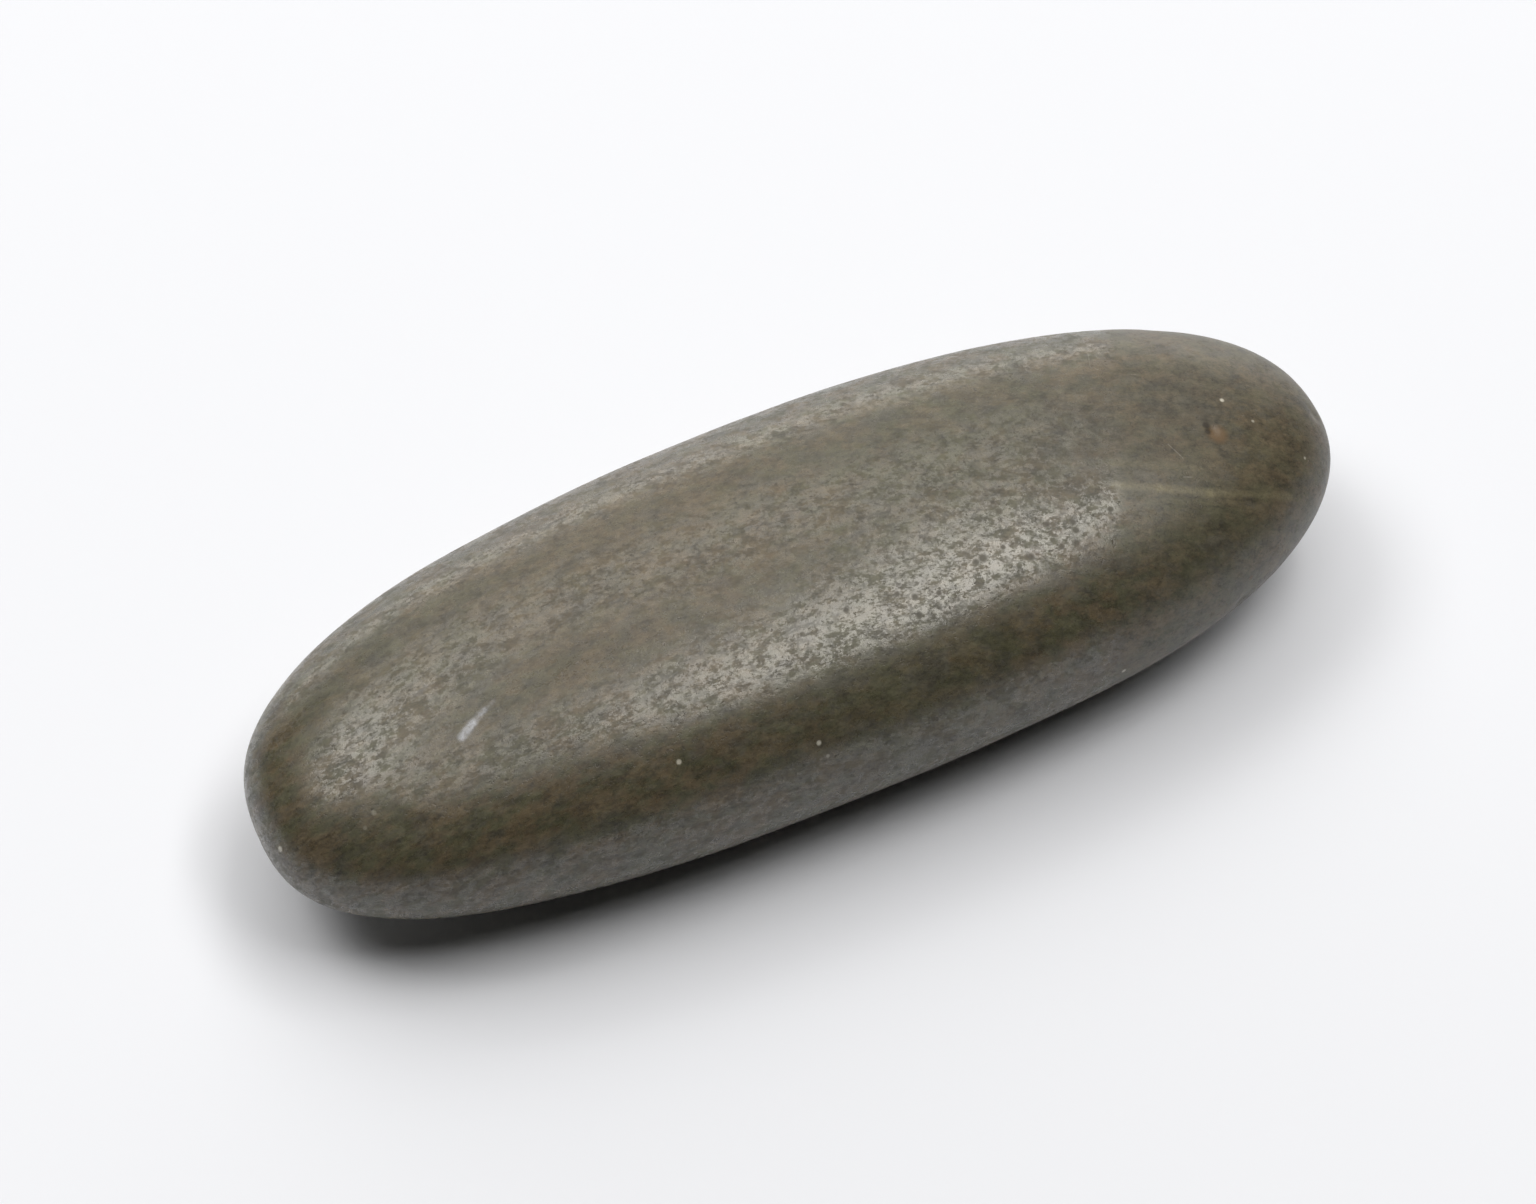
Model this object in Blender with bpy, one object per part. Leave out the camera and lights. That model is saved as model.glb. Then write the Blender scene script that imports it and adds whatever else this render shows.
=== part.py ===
"""A river pebble: one long, flattened stone that water has worn smooth.

Run it in Blender 4.5, from the text editor or with blender --background --python part.py.
Units are metres. The stone lies on its belly: X runs along it towards its fuller end, Y
across it towards its rounder flank, and Z up. The origin is on the surface that it rests
on, under the middle of the stone.
"""

import math

import bmesh
import bpy
from mathutils import Vector, noise

# The stone's overall size, with the resting flat worn into its belly.
LENGTH = 0.1400
WIDTH = 0.0509
THICKNESS = 0.0315

# How square the stone is: 2 is an ellipse, and more is boxier.
SECTION_POWER = 2.20
SLIM_END_POWER = 2.64
FULL_END_POWER = 2.31
# How quickly one end's form turns into the other's, about the middle of the length.
END_CHANGE = 3.0

# The full end is wider and thicker than the slim end, each by twice this share.
WIDTH_TAPER = 0.033
THICKNESS_TAPER = 0.051
# Both ends lie this much nearer the flat flank than the middle does.
BEND = 0.0017

# How deep the belly is worn flat where the stone rests.
FLAT_DEPTH = 0.0008

# Broad, shallow hollows and swells over the whole skin: depth, spacing and where they fall.
SWELL_DEPTH = 0.00030
SWELL_SPACING = 0.022
SWELL_SHIFT = Vector((3.5, 11.8, 2.0))

# The grid of faces: its cells along the length, across the width and through the thickness.
CELLS = (56, 19, 14)
# The box that the grid is drawn on before it is worn round, longer than a cube so that the
# cells come out even.
BOX_REACH = (1.25, 1.0, 1.0)

# Dark olive stone with a dull polish, as linear colour.
STONE_COLOUR = (0.115, 0.105, 0.070, 1.0)
STONE_ROUGHNESS = 0.42


def clear_scene():
    """Removes every object that the scene holds."""
    for old in list(bpy.data.objects):
        bpy.data.objects.remove(old, do_unlink=True)


def ruled_box():
    """A closed box ruled into square cells by evenly spaced cuts along each axis."""
    mesh = bmesh.new()
    bmesh.ops.create_cube(mesh, size=2.0)
    for axis, cells in enumerate(CELLS):
        normal = Vector((0.0, 0.0, 0.0))
        normal[axis] = 1.0
        for step in range(1, cells):
            place = normal * (2.0 * step / cells - 1.0)
            skin = mesh.verts[:] + mesh.edges[:] + mesh.faces[:]
            bmesh.ops.bisect_plane(mesh, geom=skin, plane_co=place, plane_no=normal)
    return mesh


def even_direction(point):
    """The direction of a point of the box, spread so that the cells stay of one size."""
    spread = [reach * math.tan(part * math.pi / 4) for part, reach in zip(point, BOX_REACH)]
    return Vector(spread).normalized()


def end_power(along):
    """The lengthwise squareness, from the slim end's to the full end's."""
    full = 0.5 * (1.0 + math.tanh(END_CHANGE * along))
    return SLIM_END_POWER + (FULL_END_POWER - SLIM_END_POWER) * full


def rounded(direction):
    """The point in this direction on a rounded block that reaches 1 along each axis."""
    along, across, up = (abs(part) for part in direction)
    section = (across**SECTION_POWER + up**SECTION_POWER) ** (1.0 / SECTION_POWER)
    power = end_power(direction.x)
    return direction / (along**power + section**power) ** (1.0 / power)


def shaped(unit):
    """The rounded block's point, stretched to size, tapered and bent."""
    across = unit.y * (1.0 + WIDTH_TAPER * unit.x)
    up = unit.z * (1.0 + THICKNESS_TAPER * unit.x)
    half_thickness = (THICKNESS + FLAT_DEPTH) / 2.0
    return Vector(
        (
            unit.x * LENGTH / 2.0,
            across * WIDTH / 2.0 - BEND * unit.x * unit.x,
            up * half_thickness,
        )
    )


def swell(point):
    """How far the skin stands out at a point because of the broad hollows and swells."""
    return SWELL_DEPTH * noise.noise(point / SWELL_SPACING + SWELL_SHIFT)


def wear_round(mesh):
    """Moves the ruled box's points onto the stone's skin."""
    for vert in mesh.verts:
        vert.co = shaped(rounded(even_direction(vert.co)))
    mesh.normal_update()
    moved = [vert.co + vert.normal * swell(vert.co) for vert in mesh.verts]
    for vert, place in zip(mesh.verts, moved):
        vert.co = place


def lay_down(mesh):
    """Centres the stone over the origin and wears the flat that it rests on."""
    low = Vector([min(vert.co[axis] for vert in mesh.verts) for axis in range(3)])
    high = Vector([max(vert.co[axis] for vert in mesh.verts) for axis in range(3)])
    middle = (low + high) / 2.0
    for vert in mesh.verts:
        height = max(vert.co.z - low.z - FLAT_DEPTH, 0.0)
        vert.co = Vector((vert.co.x - middle.x, vert.co.y - middle.y, height))


def stone_material():
    """Dark olive stone with a dull, water-worn polish."""
    material = bpy.data.materials.new("stone")
    material.use_nodes = True
    surface = material.node_tree.nodes["Principled BSDF"]
    surface.inputs["Base Color"].default_value = STONE_COLOUR
    surface.inputs["Roughness"].default_value = STONE_ROUGHNESS
    surface.inputs["Metallic"].default_value = 0.0
    material.diffuse_color = STONE_COLOUR
    return material


def make_pebble():
    """The whole stone, as one closed object."""
    shape = ruled_box()
    wear_round(shape)
    lay_down(shape)
    bmesh.ops.recalc_face_normals(shape, faces=shape.faces[:])
    mesh = bpy.data.meshes.new("pebble")
    shape.to_mesh(mesh)
    shape.free()
    mesh.shade_smooth()
    mesh.materials.append(stone_material())
    pebble = bpy.data.objects.new("pebble", mesh)
    bpy.context.scene.collection.objects.link(pebble)
    return pebble


clear_scene()
make_pebble()
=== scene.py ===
import math
from typing import NamedTuple

import bmesh
import bpy
from mathutils import Matrix, Vector, noise
from mathutils.bvhtree import BVHTree


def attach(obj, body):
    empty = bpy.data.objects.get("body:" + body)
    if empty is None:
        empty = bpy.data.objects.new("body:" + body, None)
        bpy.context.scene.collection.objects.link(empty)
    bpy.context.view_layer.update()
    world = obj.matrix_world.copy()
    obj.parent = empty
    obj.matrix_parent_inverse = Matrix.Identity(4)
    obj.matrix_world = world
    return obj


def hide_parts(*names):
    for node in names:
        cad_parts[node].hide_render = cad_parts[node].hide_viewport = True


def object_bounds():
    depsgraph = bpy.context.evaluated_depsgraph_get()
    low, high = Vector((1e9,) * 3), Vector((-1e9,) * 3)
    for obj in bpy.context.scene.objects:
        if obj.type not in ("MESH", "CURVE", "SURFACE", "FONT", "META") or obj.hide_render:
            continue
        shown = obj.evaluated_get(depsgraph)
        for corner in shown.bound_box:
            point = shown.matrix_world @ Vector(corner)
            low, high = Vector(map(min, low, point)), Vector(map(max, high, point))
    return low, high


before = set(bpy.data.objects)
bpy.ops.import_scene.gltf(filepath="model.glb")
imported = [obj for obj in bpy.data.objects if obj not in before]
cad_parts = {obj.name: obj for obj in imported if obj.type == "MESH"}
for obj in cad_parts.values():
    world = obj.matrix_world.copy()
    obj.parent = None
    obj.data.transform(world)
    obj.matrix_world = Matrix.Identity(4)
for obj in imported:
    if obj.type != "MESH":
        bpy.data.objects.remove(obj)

MM = 0.001
TO_MM = 1000.0
CAD_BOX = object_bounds()
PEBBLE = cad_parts["pebble"]

# --- the camera -----------------------------------------------------------------------

# The camera looks down at the stone from its front left. Its turn is from -Y towards -X, and
# its height is the angle above the floor. Distances are in metres, the lens in mm.
CAMERA_TURN = math.radians(25.76)
CAMERA_HEIGHT = math.radians(55.0)
CAMERA_DISTANCE = 0.50905
LENS = 100.0
SENSOR = 36.0
CLIP_START = 0.01
CLIP_END = 20.0
FRAME_SIZE = (1536.0, 1204.0)
# Where the camera aims, from the stone's middle: to the camera's right and up, in metres.
AIM_OFFSET = (-0.00352, 0.00031)

BACK = Vector(
    (
        -math.sin(CAMERA_TURN) * math.cos(CAMERA_HEIGHT),
        -math.cos(CAMERA_TURN) * math.cos(CAMERA_HEIGHT),
        math.sin(CAMERA_HEIGHT),
    )
)
RIGHT = Vector((math.cos(CAMERA_TURN), -math.sin(CAMERA_TURN), 0.0))
UP = BACK.cross(RIGHT)
MIDDLE = Vector((0.0, 0.0, CAD_BOX[1].z / 2.0))
AIM = MIDDLE + RIGHT * AIM_OFFSET[0] + UP * AIM_OFFSET[1]
EYE = AIM + BACK * CAMERA_DISTANCE


def add_camera():
    """The camera at the photo's viewing angle."""
    data = bpy.data.cameras.new("camera")
    data.lens = LENS
    data.sensor_width = SENSOR
    data.clip_start = CLIP_START
    data.clip_end = CLIP_END
    camera = bpy.data.objects.new("camera", data)
    bpy.context.scene.collection.objects.link(camera)
    place = Matrix((RIGHT, UP, BACK)).transposed().to_4x4()
    place.translation = EYE
    camera.matrix_world = place
    bpy.context.scene.camera = camera


# --- places on the stone --------------------------------------------------------------


def seen_place(tree, x, y):
    """The point of the skin that the camera sees at this place in the frame."""
    reach = LENS / SENSOR * FRAME_SIZE[0]
    across = RIGHT * ((x - FRAME_SIZE[0] / 2.0) / reach)
    upward = UP * ((FRAME_SIZE[1] / 2.0 - y) / reach)
    return tree.ray_cast(EYE, (across + upward - BACK).normalized())[0]


# --- the skin -------------------------------------------------------------------------

SMOOTHING_LEVELS = 2
WELD_GAP = 0.001 * MM
JOIN_ANGLE = math.radians(60.0)

# Fine relief, worn in from the CAD skin: (size mm, most depth mm, shift).
RELIEF = (
    (7.0, 0.030, Vector((0.0, 0.0, 0.0))),
    (2.8, 0.016, Vector((9.0, 2.0, 5.0))),
)

# Marks are given where the camera sees them, in the frame of FRAME_SIZE.
# Small chips and dents: (x, y, radius mm, depth mm).
DENTS = (
    (1213, 431, 0.8, 0.22),
    (1316, 416, 1.1, 0.25),
    (1243, 599, 1.3, 0.22),
    (324, 897, 1.2, 0.25),
    (340, 906, 0.8, 0.15),
    (762, 412, 2.0, 0.15),
)
# A dent has a bell's form. DENT_FALL says how fast it fades, and it ends at DENT_REACH radii.
DENT_FALL = 1.4
DENT_REACH = 2.5


def skin_mesh():
    """The pebble's CAD skin, rounded between its corners."""
    shape = bmesh.new()
    shape.from_mesh(PEBBLE.data)
    bmesh.ops.remove_doubles(shape, verts=shape.verts, dist=WELD_GAP)
    bmesh.ops.join_triangles(
        shape,
        faces=shape.faces,
        angle_face_threshold=JOIN_ANGLE,
        angle_shape_threshold=JOIN_ANGLE,
    )
    coarse = bpy.data.meshes.new("coarse")
    shape.to_mesh(coarse)
    shape.free()
    holder = bpy.data.objects.new("coarse", coarse)
    bpy.context.scene.collection.objects.link(holder)
    smooth = holder.modifiers.new("smooth", "SUBSURF")
    smooth.levels = SMOOTHING_LEVELS
    smooth.render_levels = SMOOTHING_LEVELS
    bpy.context.view_layer.update()
    evaluated = holder.evaluated_get(bpy.context.evaluated_depsgraph_get())
    mesh = bpy.data.meshes.new_from_object(evaluated)
    bpy.data.objects.remove(holder)
    bpy.data.meshes.remove(coarse)
    mesh.name = "stone_skin"
    return mesh


def relief(point, dents):
    """How far the skin is worn in at a point, in metres."""
    worn = 0.0
    for size, depth, shift in RELIEF:
        worn += depth * (noise.noise(point / (size * MM) + shift) + 1.0) / 2.0
    for centre, radius, depth in dents:
        gap = (point - centre).length / radius
        if gap < DENT_REACH:
            worn += depth * math.exp(-gap * gap * DENT_FALL)
    return worn * MM


def add_skin():
    """(stone, tree): the worn skin as an object, and the skin before wear, to find places on."""
    mesh = skin_mesh()
    tree = BVHTree.FromPolygons(
        [v.co for v in mesh.vertices], [list(p.vertices) for p in mesh.polygons]
    )
    dents = [(seen_place(tree, x, y), radius * MM, depth) for x, y, radius, depth in DENTS]
    moved = [v.co - v.normal * relief(v.co, dents) for v in mesh.vertices]
    for vert, place in zip(mesh.vertices, moved):
        vert.co = (place.x, place.y, max(place.z, 0.0))
    mesh.shade_smooth()
    stone = bpy.data.objects.new("stone", mesh)
    bpy.context.scene.collection.objects.link(stone)
    return stone, tree


# --- the material ---------------------------------------------------------------------

# A Mix node's sockets for colours. They share their names with those for numbers.
MIX_FIRST, MIX_SECOND, MIX_RESULT = 6, 7, 2
# Which way a noise is shifted to set it apart, and the middle of its values.
SHIFT_WAY = (1.0, 0.7, -1.0)
NOISE_MIDDLE = 0.5


class Field(NamedTuple):
    """A soft noise, and the low and high between which its effect runs from none to full."""

    size: float  # of its features, in mm
    detail: float
    rough: float
    shift: float
    low: float = 0.0
    high: float = 1.0


class Nodes:
    """Short ways to add the nodes of one material."""

    def __init__(self, material):
        material.use_nodes = True
        self.tree = material.node_tree
        self.surface = self.tree.nodes["Principled BSDF"]

    def add(self, kind, inputs=(), **settings):
        node = self.tree.nodes.new(kind)
        for name, value in settings.items():
            setattr(node, name, value)
        for name, value in dict(inputs).items():
            self.feed(node.inputs[name], value)
        return node

    def feed(self, socket, value):
        if isinstance(value, bpy.types.NodeSocket):
            self.tree.links.new(value, socket)
        else:
            socket.default_value = value

    def math(self, operation, *values, clamp=False):
        node = self.tree.nodes.new("ShaderNodeMath")
        node.operation = operation
        node.use_clamp = clamp
        for socket, value in zip(node.inputs, values):
            self.feed(socket, value)
        return node.outputs[0]

    def vector(self, operation, *values):
        node = self.tree.nodes.new("ShaderNodeVectorMath")
        node.operation = operation
        for socket, value in zip(node.inputs, values):
            self.feed(socket, value)
        return node.outputs["Value" if operation in ("DOT_PRODUCT", "DISTANCE") else 0]

    def scale(self, vector, factor):
        node = self.tree.nodes.new("ShaderNodeVectorMath")
        node.operation = "SCALE"
        self.feed(node.inputs[0], vector)
        self.feed(node.inputs["Scale"], factor)
        return node.outputs[0]

    def noise(self, place, field):
        """A field as it is, 0 to 1 and mostly near the middle."""
        shift = tuple(field.shift * way for way in SHIFT_WAY)
        moved = self.vector("ADD", self.scale(place, 1.0 / field.size), shift)
        node = self.add(
            "ShaderNodeTexNoise",
            {"Vector": moved, "Scale": 1.0, "Detail": field.detail, "Roughness": field.rough},
        )
        return node.outputs[0]

    def spread(self, place, field, start=0.0, end=1.0):
        """A field in a straight run, from start at its low to end at its high."""
        return self.ramp(self.noise(place, field), field.low, field.high, start, end)

    def patches(self, place, field):
        """A field in patches: 0 below its low, 1 above its high, and a smooth rise between."""
        return self.step(self.noise(place, field), field.low, field.high)

    def cracks(self, place):
        """Distance, in cell sizes, to the bounds of the uneven cells that the seams part."""
        bent = self.add(
            "ShaderNodeTexNoise",
            {"Vector": place, "Scale": SEAM_BEND_SCALE / SEAM_CELL, "Detail": SEAM_BEND_DETAIL},
        )
        bend = self.vector("SUBTRACT", bent.outputs["Color"], (NOISE_MIDDLE,) * 3)
        moved = self.vector("ADD", self.scale(place, 1.0 / SEAM_CELL), self.scale(bend, SEAM_BEND))
        node = self.add(
            "ShaderNodeTexVoronoi",
            {"Vector": moved, "Scale": 1.0},
            feature="DISTANCE_TO_EDGE",
        )
        return node.outputs["Distance"]

    def step(self, value, low, high):
        """0 below low and 1 above high, with a smooth rise between them."""
        node = self.tree.nodes.new("ShaderNodeMapRange")
        node.interpolation_type = "SMOOTHSTEP"
        self.feed(node.inputs["Value"], value)
        node.inputs["From Min"].default_value = low
        node.inputs["From Max"].default_value = high
        return node.outputs[0]

    def ramp(self, value, low, high, start, end):
        """A straight run from start to end as the value goes from low to high."""
        node = self.tree.nodes.new("ShaderNodeMapRange")
        self.feed(node.inputs["Value"], value)
        node.inputs["From Min"].default_value = low
        node.inputs["From Max"].default_value = high
        node.inputs["To Min"].default_value = start
        node.inputs["To Max"].default_value = end
        return node.outputs[0]

    def mix(self, share, first, second, blend="MIX"):
        node = self.tree.nodes.new("ShaderNodeMix")
        node.data_type = "RGBA"
        node.blend_type = blend
        self.feed(node.inputs["Factor"], share)
        self.feed(node.inputs[MIX_FIRST], first)
        self.feed(node.inputs[MIX_SECOND], second)
        return node.outputs[MIX_RESULT]


def colour(red, green, blue):
    """A linear colour, opaque."""
    return (red, green, blue, 1.0)


# Linear colours of the stone's minerals.
OLIVE = colour(0.065, 0.063, 0.037)
TAN = colour(0.090, 0.071, 0.043)
GREY = colour(0.067, 0.063, 0.050)
DARK = colour(0.029, 0.023, 0.016)
RUST_BROWN = colour(0.095, 0.057, 0.030)
# Linear colours of its marks.
RUST = colour(0.150, 0.084, 0.032)
VEIN = colour(0.200, 0.178, 0.105)
SMUDGE = colour(0.420, 0.440, 0.500)
WHITE = colour(0.520, 0.500, 0.430)
SCRATCH = colour(0.240, 0.230, 0.200)

# The layers of the stone show as streaks. They climb to the right at the camera's left end
# and lie level at its right end: their slope in the middle, how far it falls in a mm, and how
# many times longer the grain is along a layer than across it.
STREAK_SLOPE = 0.20
STREAK_FALL = 0.0045
STREAK_STRETCH = 1.7

# Minerals. HUE goes from olive to tan, CLOUD is grey and RUSTY is rust brown.
HUE = Field(2.3, 4.0, 0.65, 7.7, 0.42, 0.58)
CLOUD = Field(2.6, 4.0, 0.75, 1.3, 0.50, 0.62)
RUSTY = Field(2.4, 4.0, 0.70, 9.3, 0.58, 0.72)
CLOUD_SHARE = 0.60
RUSTY_SHARE = 0.28
# Dark and light grain, and how far from 1 each takes the tone at most.
MOTTLE = Field(1.6, 4.0, 0.90, 5.9, 0.36, 0.64)
GRAIN = Field(0.42, 2.0, 0.90, 2.2, 0.30, 0.70)
MOTTLE_TONE = 0.36
GRAIN_TONE = 0.08
# Dark seams part cells of about SEAM_CELL mm, bent by a noise, and show only in the patches
# of OPEN. They are full up to the first distance of SEAM_WIDTH from their middle and fade out
# at the second, in cell sizes.
SEAM_CELL = 1.1
SEAM_BEND = 0.9
SEAM_BEND_SCALE = 1.3
SEAM_BEND_DETAIL = 2.0
SEAM_WIDTH = (0.02, 0.14)
SEAM_TONE = 0.22
OPEN = Field(2.0, 2.0, 0.50, 3.3, 0.42, 0.62)
# Small pits all over, and how much of DARK they and the larger ones take.
SMALL_PITS = Field(0.55, 3.0, 0.75, 4.4, 0.56, 0.70)
PIT_SHARE = 0.50
# Lines are ragged: this noise thins them, to RAGGED_LEAST of their share at the thinnest.
RAGGED = Field(0.35, 2.0, 0.80, 6.6, 0.35, 0.65)
RAGGED_LEAST = 0.35
# Polish. The gaps between the plateaus are dull, and WEAR makes them wider or narrower.
WEAR = Field(5.0, 2.0, 0.50, 8.8, 0.30, 0.70)
WEAR_SHARE = 0.04
GAPS = Field(1.0, 3.0, 0.90, 6.1, 0.44, 0.60)
DULL_SEAMS = 0.50
# The right end is duller: the polish fades between these distances to the right, in mm.
DULL_END = (36.7, 38.9)
DULL_END_SHARE = 0.70
# Roughness and specular level, each where polished and where dull.
ROUGHNESS = (0.27, 0.46)
SHEEN = (0.84, 0.50)
STONE_IOR = 1.5
# Ripples of the polish. Their height and the depth of the pits are in mm.
RIPPLE = Field(0.9, 2.0, 0.55, 3.9)
RIPPLE_HEIGHT = 0.014
PIT_DEPTH = 0.010

# A mask is full up to this share of its radius, and fades out as far beyond the radius.
SPOT_CORE = 0.5
TINT_CORE = 0.1
STROKE_CORE = 0.2

# Soft tints: (x, y, radius mm, share, colour). The first two, dark, are painted shade that darkens
# the skin just right of the highlight's right end; the rest are the stone's own colour patches.
TINTS_AND_PAINTED_SHADE = (
    # Painted shade: these two dark tints darken the skin beside the highlight's right end.
    (1172, 476, 4.5, 0.22, DARK),
    (1128, 482, 2.5, 0.16, DARK),
    (650, 510, 17.0, 0.40, TAN),
    (1230, 410, 15.0, 0.45, TAN),
    (560, 600, 14.0, 0.35, TAN),
    (900, 660, 14.0, 0.55, OLIVE),
    (950, 440, 13.0, 0.40, OLIVE),
    (380, 680, 12.0, 0.35, OLIVE),
    (1075, 440, 7.0, 0.45, GREY),
    (1190, 405, 5.0, 0.45, GREY),
    (1210, 530, 7.0, 0.50, OLIVE),
)

# Lines on the skin: (from x, y, to x, y, half width mm, colour, share).
STROKES = (
    (462, 737, 473, 723, 0.44, SMUDGE, 0.85),
    (466, 731, 484, 710, 0.34, SMUDGE, 0.40),
    (480, 714, 494, 701, 0.24, SMUDGE, 0.22),
    (418, 694, 425, 687, 0.34, SMUDGE, 0.16),
    (1090, 484, 1120, 485, 0.45, VEIN, 0.18),
    (1115, 485, 1160, 488, 0.48, VEIN, 0.48),
    (1160, 488, 1210, 493, 0.50, VEIN, 0.58),
    (1210, 493, 1290, 497, 0.48, VEIN, 0.62),
    (1112, 463, 1200, 469, 0.45, VEIN, 0.28),
    (1168, 444, 1183, 458, 0.07, SCRATCH, 0.50),
    (1088, 353, 1090, 366, 0.06, SCRATCH, 0.45),
    (1131, 374, 1138, 375, 0.06, SCRATCH, 0.50),
    (1184, 477, 1192, 477, 0.08, SCRATCH, 0.60),
    (908, 621, 912, 637, 0.09, DARK, 0.80),
)

# Round spots on the skin: (x, y, radius mm, colour, share).
SPOTS = (
    (819, 743, 0.28, WHITE, 0.70),
    (828, 756, 0.22, WHITE, 0.35),
    (679, 762, 0.28, WHITE, 0.70),
    (1124, 671, 0.26, WHITE, 0.80),
    (280, 849, 0.34, WHITE, 0.80),
    (374, 813, 0.28, WHITE, 0.20),
    (365, 828, 0.24, WHITE, 0.16),
    (1222, 400, 0.26, WHITE, 0.80),
    (1253, 421, 0.20, WHITE, 0.45),
    (1305, 458, 0.18, WHITE, 0.50),
    (1218, 434, 1.20, RUST, 0.60),
    (1205, 418, 0.90, DARK, 0.30),
    (1206, 425, 0.45, DARK, 0.85),
    (1208, 431, 0.40, DARK, 0.85),
    (753, 530, 0.35, TAN, 0.90),
    (690, 544, 0.25, TAN, 0.80),
    (1251, 578, 0.35, RUST_BROWN, 0.80),
)

# Dark pits: (x, y, radius mm).
PITS = (
    (999, 511, 0.42),
    (993, 502, 0.30),
    (983, 558, 0.52),
    (976, 562, 0.40),
    (1073, 522, 0.40),
    (1076, 530, 0.42),
    (1077, 543, 0.42),
    (1031, 557, 0.48),
    (1111, 509, 0.35),
    (1047, 524, 0.40),
    (1062, 546, 0.36),
    (915, 597, 0.40),
    (897, 594, 0.34),
    (939, 593, 0.32),
    (919, 615, 0.38),
    (846, 610, 0.36),
    (1003, 547, 0.30),
)


def within(n, gap, reach, core):
    """1 where a distance is well within reach and 0 well outside it."""
    return n.math("SUBTRACT", 1.0, n.step(gap, reach * core, reach * (2.0 - core)))


def spot_mask(n, place, centre, radius, core=SPOT_CORE):
    """1 within a spot of the skin and 0 outside it."""
    return within(n, n.vector("DISTANCE", place, centre), radius, core)


def stroke_mask(n, place, start, end, half_width):
    """1 along a line on the skin and 0 away from it."""
    run = end - start
    share = n.vector("DOT_PRODUCT", n.vector("SUBTRACT", place, start), run / run.length_squared)
    nearest = n.vector("ADD", n.scale(run, n.math("ADD", share, 0.0, clamp=True)), start)
    return within(n, n.vector("DISTANCE", place, nearest), half_width, STROKE_CORE)


def bed_place(n, place, across):
    """Places in the stone's own layers, with the grain drawn out along them."""
    along = n.math("DIVIDE", across, STREAK_STRETCH)
    deep = n.math("DIVIDE", n.vector("DOT_PRODUCT", place, BACK), STREAK_STRETCH)
    fall = n.math("MULTIPLY", across, STREAK_FALL / 2.0)
    slope = n.math("MULTIPLY", n.math("SUBTRACT", fall, STREAK_SLOPE), across)
    layer = n.math("ADD", n.vector("DOT_PRODUCT", place, UP), slope)
    return n.add("ShaderNodeCombineXYZ", {"X": along, "Y": deep, "Z": layer}).outputs[0]


def seam_mask(n, place, bed):
    """1 along the seams where they are open, and 0 elsewhere."""
    seams = n.math("SUBTRACT", 1.0, n.step(n.cracks(bed), *SEAM_WIDTH))
    return n.math("MULTIPLY", seams, n.patches(place, OPEN))


def mineral_colour(n, place, bed, seams, skin):
    """Warm and green patches, painted shade by the highlight's right end, grey clouds, and dark
    and light grain of every size.
    """
    base = n.mix(n.spread(bed, HUE), OLIVE, TAN)
    for x, y, radius, share, tint in TINTS_AND_PAINTED_SHADE:
        mask = n.math("MULTIPLY", spot_mask(n, place, skin(x, y), radius, TINT_CORE), share)
        base = n.mix(mask, base, tint)
    base = n.mix(n.math("MULTIPLY", n.spread(bed, CLOUD), CLOUD_SHARE), base, GREY)
    base = n.mix(n.math("MULTIPLY", n.spread(place, RUSTY), RUSTY_SHARE), base, RUST_BROWN)
    mottle = n.spread(bed, MOTTLE, 1.0 - MOTTLE_TONE, 1.0 + MOTTLE_TONE)
    tone = n.math("ADD", mottle, n.spread(place, GRAIN, -GRAIN_TONE, GRAIN_TONE))
    tone = n.math("SUBTRACT", tone, n.math("MULTIPLY", seams, SEAM_TONE))
    tones = n.add("ShaderNodeCombineXYZ", {"X": tone, "Y": tone, "Z": tone}).outputs[0]
    return n.mix(1.0, base, tones, "MULTIPLY")


def pit_mask(n, place, skin):
    """1 in the pits: small ones all over, and the larger ones that catch the eye."""
    pits = n.patches(place, SMALL_PITS)
    for x, y, radius in PITS:
        pits = n.math("MAXIMUM", pits, spot_mask(n, place, skin(x, y), radius))
    return pits


def marked(n, place, base, skin):
    """The colour with its lines, a little ragged, and its spots."""
    ragged = n.spread(place, RAGGED, RAGGED_LEAST, 1.0)
    for x, y, x2, y2, half_width, tint, share in STROKES:
        mask = stroke_mask(n, place, skin(x, y), skin(x2, y2), half_width)
        base = n.mix(n.math("MULTIPLY", n.math("MULTIPLY", mask, ragged), share), base, tint)
    for x, y, radius, tint, share in SPOTS:
        mask = spot_mask(n, place, skin(x, y), radius)
        base = n.mix(n.math("MULTIPLY", mask, share), base, tint)
    return base


def dullness(n, bed, across, pits, seams):
    """0 on the polished plateaus and up to 1 in the gaps, pits and seams between them."""
    wear = n.spread(bed, WEAR, -WEAR_SHARE, WEAR_SHARE)
    gaps = n.math("ADD", n.noise(bed, GAPS), wear)
    dull = n.step(gaps, GAPS.low, GAPS.high)
    dull = n.math("MAXIMUM", dull, n.math("MAXIMUM", pits, n.math("MULTIPLY", seams, DULL_SEAMS)))
    right_end = n.math("MULTIPLY", n.step(across, *DULL_END), DULL_END_SHARE)
    return n.math("MAXIMUM", dull, right_end)


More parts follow.
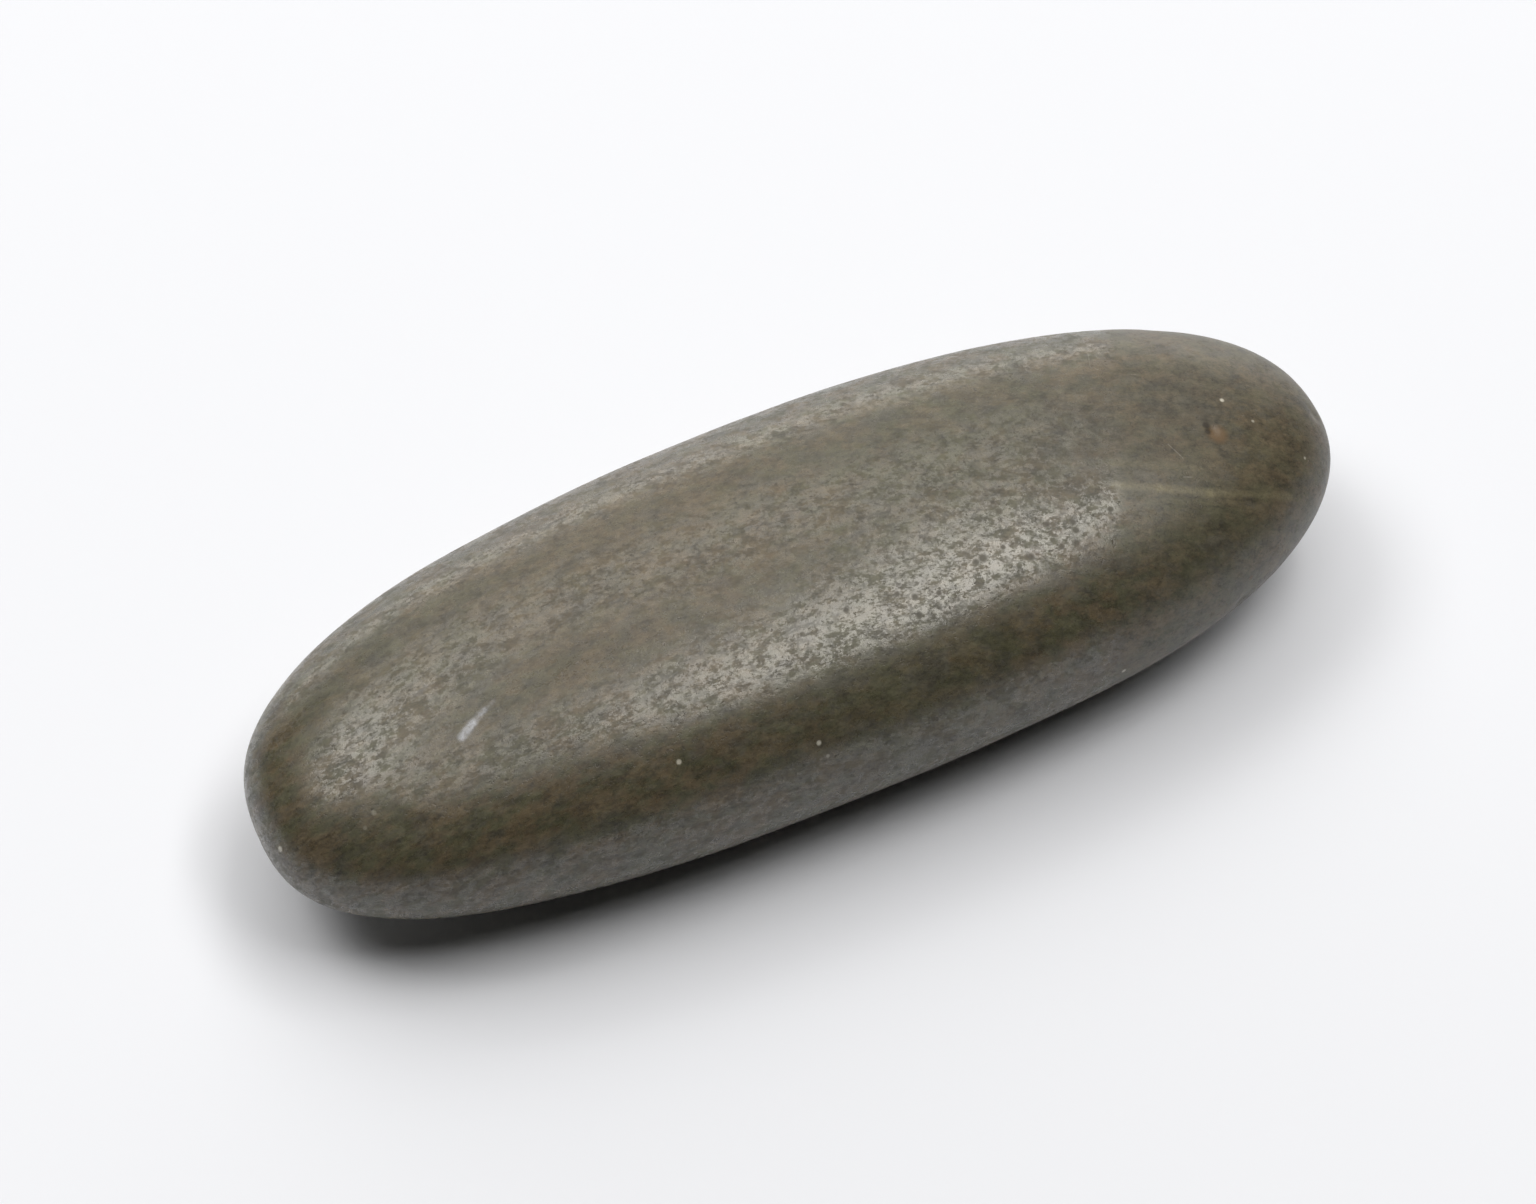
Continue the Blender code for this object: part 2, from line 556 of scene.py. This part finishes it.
def stone_material(tree):
    """Olive-brown, fine-grained stone with a worn polish broken by pits."""
    material = bpy.data.materials.new("worn_stone")
    n = Nodes(material)
    place = n.scale(n.add("ShaderNodeTexCoord").outputs["Object"], TO_MM)
    across = n.vector("DOT_PRODUCT", place, RIGHT)
    bed = bed_place(n, place, across)

    def skin(x, y):
        return seen_place(tree, x, y) * TO_MM

    seams = seam_mask(n, place, bed)
    pits = pit_mask(n, place, skin)
    base = mineral_colour(n, place, bed, seams, skin)
    base = n.mix(n.math("MULTIPLY", pits, PIT_SHARE), base, DARK)
    dull = dullness(n, bed, across, pits, seams)
    ripple = n.math("SUBTRACT", n.noise(place, RIPPLE), NOISE_MIDDLE)
    height = n.math("MULTIPLY", ripple, RIPPLE_HEIGHT)
    height = n.math("SUBTRACT", height, n.math("MULTIPLY", pits, PIT_DEPTH))
    bump = n.add("ShaderNodeBump", {"Strength": 1.0, "Distance": MM, "Height": height})

    n.feed(n.surface.inputs["Base Color"], marked(n, place, base, skin))
    n.feed(n.surface.inputs["Roughness"], n.ramp(dull, 0.0, 1.0, *ROUGHNESS))
    n.feed(n.surface.inputs["Specular IOR Level"], n.ramp(dull, 0.0, 1.0, *SHEEN))
    n.feed(n.surface.inputs["Normal"], bump.outputs[0])
    n.surface.inputs["IOR"].default_value = STONE_IOR
    return material


# --- the studio -----------------------------------------------------------------------

AWAY = Vector((math.sin(CAMERA_TURN), math.cos(CAMERA_TURN), 0.0))
DOWN = Vector((0.0, 0.0, -1.0))

# Soft panels over the stone, facing down, and low ones behind it, facing it. Each is (name,
# left edge, right edge, near edge, far edge, watts a square metre). Edges are measured from
# the stone, to the camera's right and away from the camera, in units of PANEL_HEIGHT: the
# height in metres at which the ones over the stone hang. For the ones behind it, at
# BEHIND_DISTANCE of those units, the last two edges are the lower and the upper.
PANEL_HEIGHT = 2.0
OVERHEAD = (
    ("key", 0.36, 0.57, -0.28, 0.36, 29.5),
    ("key_side", 0.13, 0.36, -0.22, 0.50, 18.0),
    ("middle", -0.38, 0.13, -0.30, 0.15, 7.9),
    ("left", -0.95, -0.36, -0.05, 0.55, 16.5),
    ("far", -0.95, 0.36, 0.50, 1.00, 8.1),
    ("farthest", -0.95, 0.36, 1.00, 1.70, 4.8),
)
BEHIND = (
    ("behind_low", -2.10, 1.40, 0.0, 0.50, 9.0),
    ("behind_high", -2.10, 1.20, 0.45, 1.00, 2.5),
)
BEHIND_DISTANCE = 1.9
PANEL_COLOUR = (1.0, 0.965, 0.90)

# The paper floor: half its width in metres, and its look.
FLOOR_REACH = 3.6
FLOOR_COLOUR = (0.77, 0.80, 0.875)
FLOOR_ROUGHNESS = 0.85


def studio_point(right, away, up):
    """A point this far from the stone to the camera's right, away and up, in panel heights."""
    return (RIGHT * right + AWAY * away + Vector((0.0, 0.0, up))) * PANEL_HEIGHT


def add_panel(name, centre, facing, width, height, power):
    """A panel unseen by the camera: its sides in panel heights, its power a square metre."""
    width, height = width * PANEL_HEIGHT, height * PANEL_HEIGHT
    data = bpy.data.lights.new(name, "AREA")
    data.shape = "RECTANGLE"
    data.size = width
    data.size_y = height
    data.energy = power * width * height
    data.color = PANEL_COLOUR
    lamp = bpy.data.objects.new(name, data)
    bpy.context.scene.collection.objects.link(lamp)
    place = Matrix((RIGHT, RIGHT.cross(facing), -facing)).transposed().to_4x4()
    place.translation = centre
    lamp.matrix_world = place
    lamp.visible_camera = False


def add_floor():
    """Plain pale paper."""
    data = bpy.data.meshes.new("floor")
    turns = ((-1, -1), (1, -1), (1, 1), (-1, 1))
    corners = [(x * FLOOR_REACH, y * FLOOR_REACH, 0.0) for x, y in turns]
    data.from_pydata(corners, [], [(0, 1, 2, 3)])
    material = bpy.data.materials.new("paper")
    material.use_nodes = True
    surface = material.node_tree.nodes["Principled BSDF"]
    surface.inputs["Base Color"].default_value = colour(*FLOOR_COLOUR)
    surface.inputs["Roughness"].default_value = FLOOR_ROUGHNESS
    surface.inputs["Specular IOR Level"].default_value = 0.0
    data.materials.append(material)
    floor = bpy.data.objects.new("floor", data)
    bpy.context.scene.collection.objects.link(floor)


def add_world():
    """A dark world, so that the panels give all the light."""
    world = bpy.data.worlds.new("studio")
    world.use_nodes = True
    world.node_tree.nodes["Background"].inputs["Strength"].default_value = 0.0
    bpy.context.scene.world = world


def add_lights():
    """The panels over the stone and those behind it."""
    for name, left, right, near, far, power in OVERHEAD:
        centre = studio_point((left + right) / 2.0, (near + far) / 2.0, 1.0)
        add_panel(name, centre, DOWN, right - left, far - near, power)
    for name, left, right, low, high, power in BEHIND:
        centre = studio_point((left + right) / 2.0, BEHIND_DISTANCE, (low + high) / 2.0)
        add_panel(name, centre, -AWAY, right - left, high - low, power)


stone, skin_tree = add_skin()
stone.data.materials.clear()
stone.data.materials.append(stone_material(skin_tree))
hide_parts("pebble")
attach(stone, "root")
add_floor()
add_world()
add_lights()
add_camera()
bpy.context.scene.view_settings.view_transform = "Standard"
